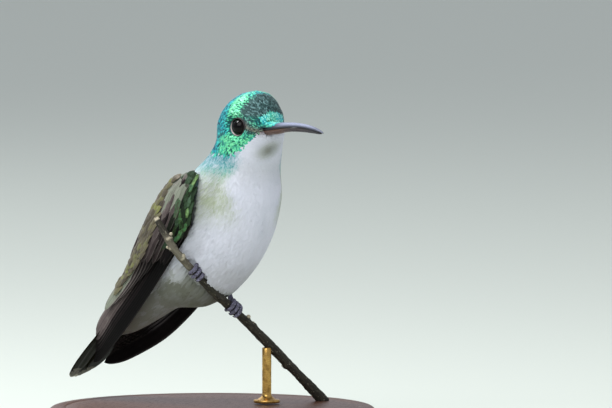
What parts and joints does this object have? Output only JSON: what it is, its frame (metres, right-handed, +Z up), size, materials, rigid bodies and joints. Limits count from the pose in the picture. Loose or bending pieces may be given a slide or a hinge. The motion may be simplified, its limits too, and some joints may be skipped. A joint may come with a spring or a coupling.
{
  "type": "hummingbird",
  "caption": "Still life-size model of a small white-breasted hummingbird with a green head, gripping a short slanting twig on a round display stand.",
  "frame": {"origin": "centre of the stand base's underside", "axes": "+Z up; the bird's trunk lies in the XZ plane and faces +X, so its right side is -Y and its left side is +Y"},
  "size_m": [0.0694, 0.064, 0.067],
  "materials": {
    "green_plumage": "glittering green to turquoise feathers",
    "white_plumage": "soft white feathers",
    "bronze_plumage": "bronze-green feathers with a low gloss",
    "flight_feathers": "dusky purple-brown vanes",
    "bill_horn": "smooth dark horn with a pinkish lower base",
    "eye": "wet, near black",
    "leg_skin": "scaled, dark purple-grey",
    "bark": "dry grey-brown bark",
    "dark_wood": "satin varnish",
    "rod_brass": "satin"
  },
  "bodies": {
    "root": {"head": "green_plumage", "neck": "white_plumage", "trunk": "white_plumage", "tail_coverts": "white_plumage", "bill_upper": "bill_horn", "bill_lower": "bill_horn", "eye_right": "eye", "eye_left": "eye", "tail": "bronze_plumage", "wing_right_arm": "bronze_plumage", "wing_right_secondaries": "flight_feathers", "wing_right_primaries": "flight_feathers", "wing_left_arm": "bronze_plumage", "wing_left_secondaries": "flight_feathers", "wing_left_primaries": "flight_feathers", "leg_right": "leg_skin", "foot_right": "leg_skin", "leg_left": "leg_skin", "foot_left": "leg_skin", "perch": "bark", "stand_base": "dark_wood", "stand_rod": "rod_brass"}
  },
  "joints": []
}
